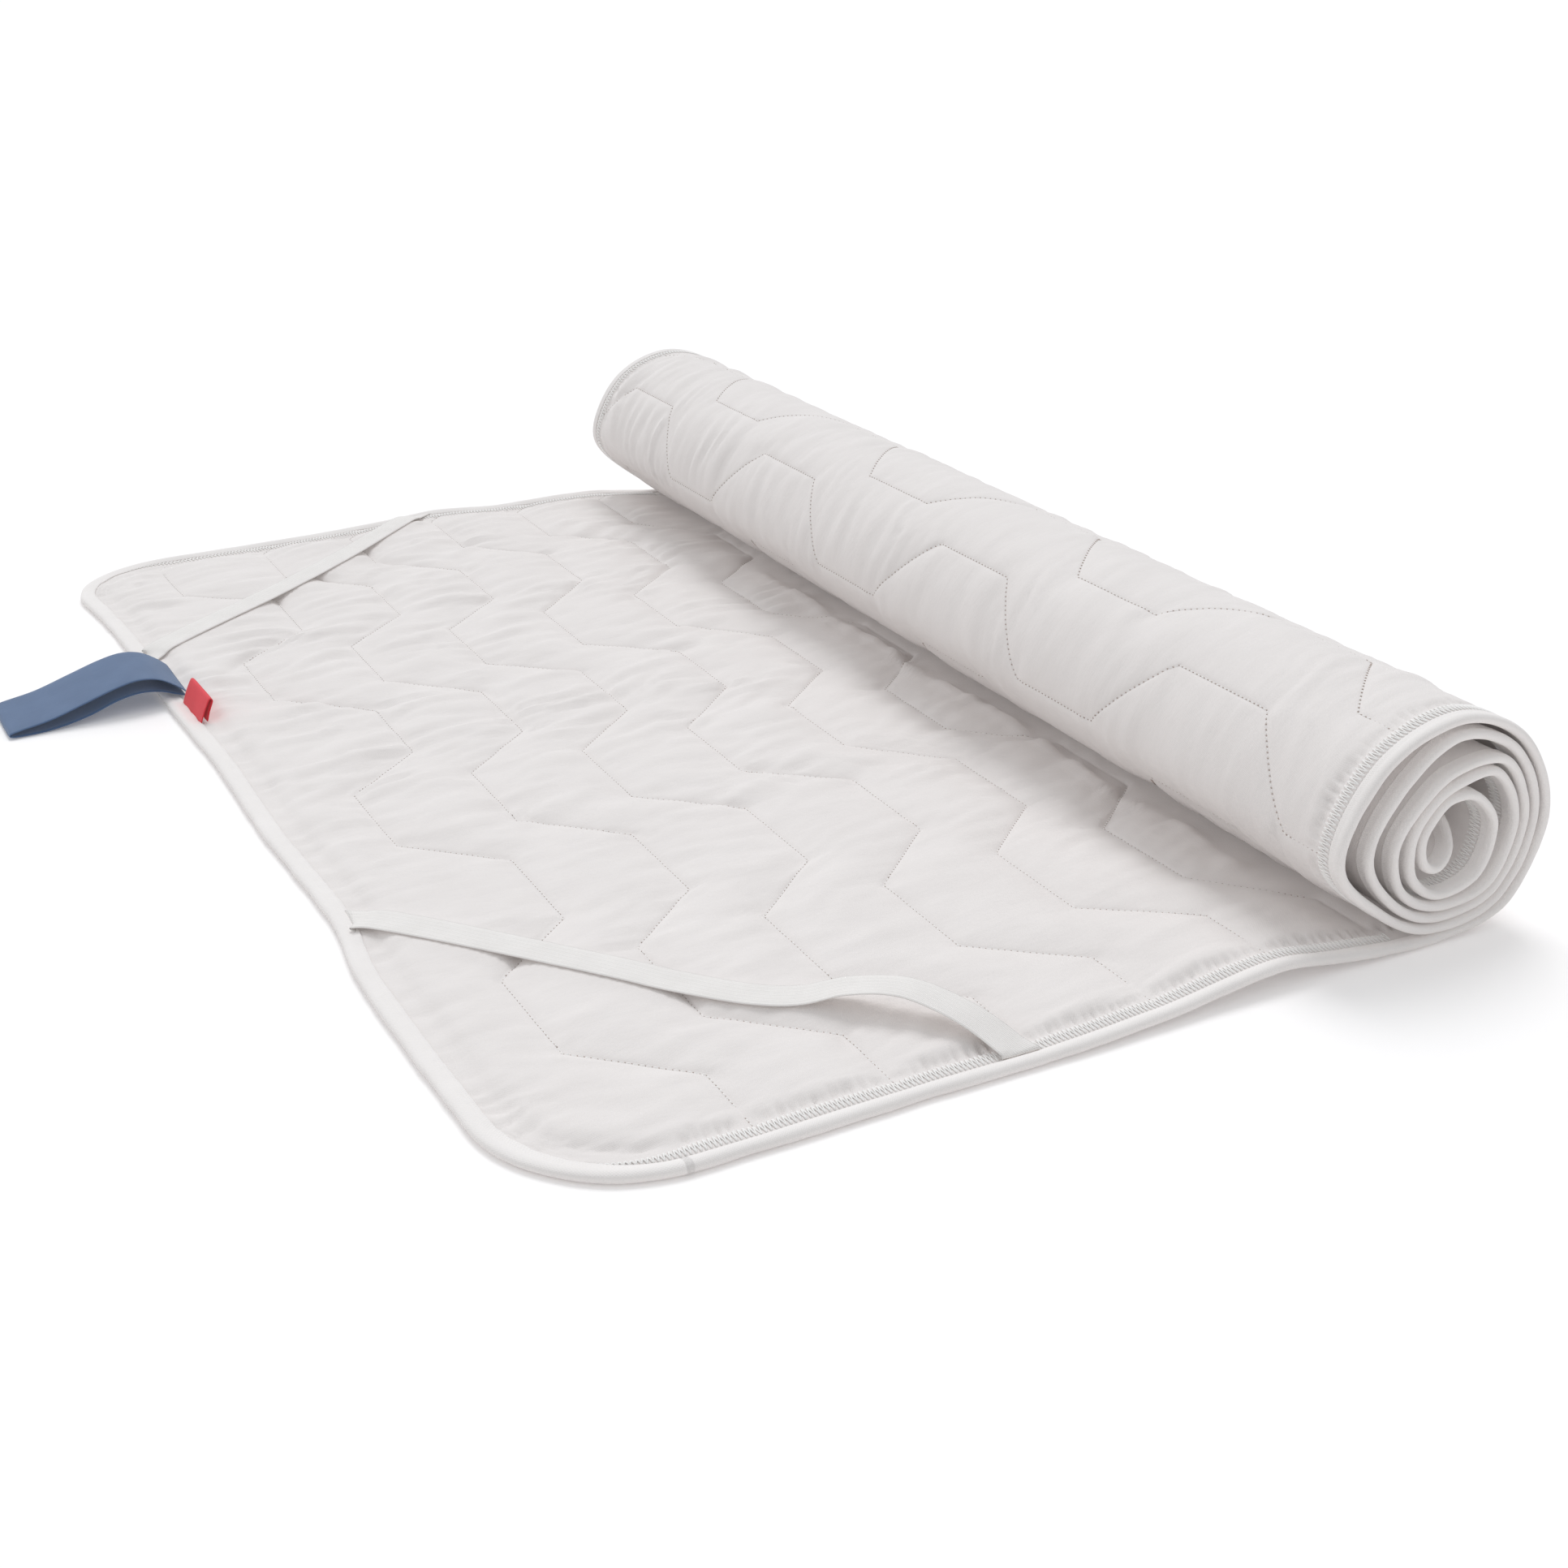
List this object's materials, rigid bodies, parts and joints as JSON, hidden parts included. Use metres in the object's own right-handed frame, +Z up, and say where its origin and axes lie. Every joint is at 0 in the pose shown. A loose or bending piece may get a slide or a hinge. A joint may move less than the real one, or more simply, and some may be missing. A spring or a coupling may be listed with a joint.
{
  "type": "rolled mattress protector",
  "caption": "Quilted white mattress protector, spread flat at one end and rolled up at the other, with a bound edge, elastic corner straps and a ribbon loop.",
  "frame": {"origin": "under the middle of the whole thing, on the surface that it lies on", "axes": "+Z up; +X along the cloth from its free end to the roll; +Y across the cloth, along the roll"},
  "size_m": [0.6308, 0.9034, 0.1195],
  "materials": {
    "quilted_cotton": "matt cotton percale, quilted",
    "cotton_binding": "matt cotton tape, folded over a cord",
    "woven_elastic": "matt flat elastic with fine ribs",
    "blue_ribbon": "slightly glossy woven ribbon",
    "red_woven": "woven tag, slightly glossy"
  },
  "bodies": {
    "root": {"quilted_panel": "quilted_cotton", "edge_binding": "cotton_binding", "elastic_strap_near": "woven_elastic", "elastic_strap_far": "woven_elastic", "label_loop": "blue_ribbon", "side_tag": "red_woven"}
  },
  "joints": []
}
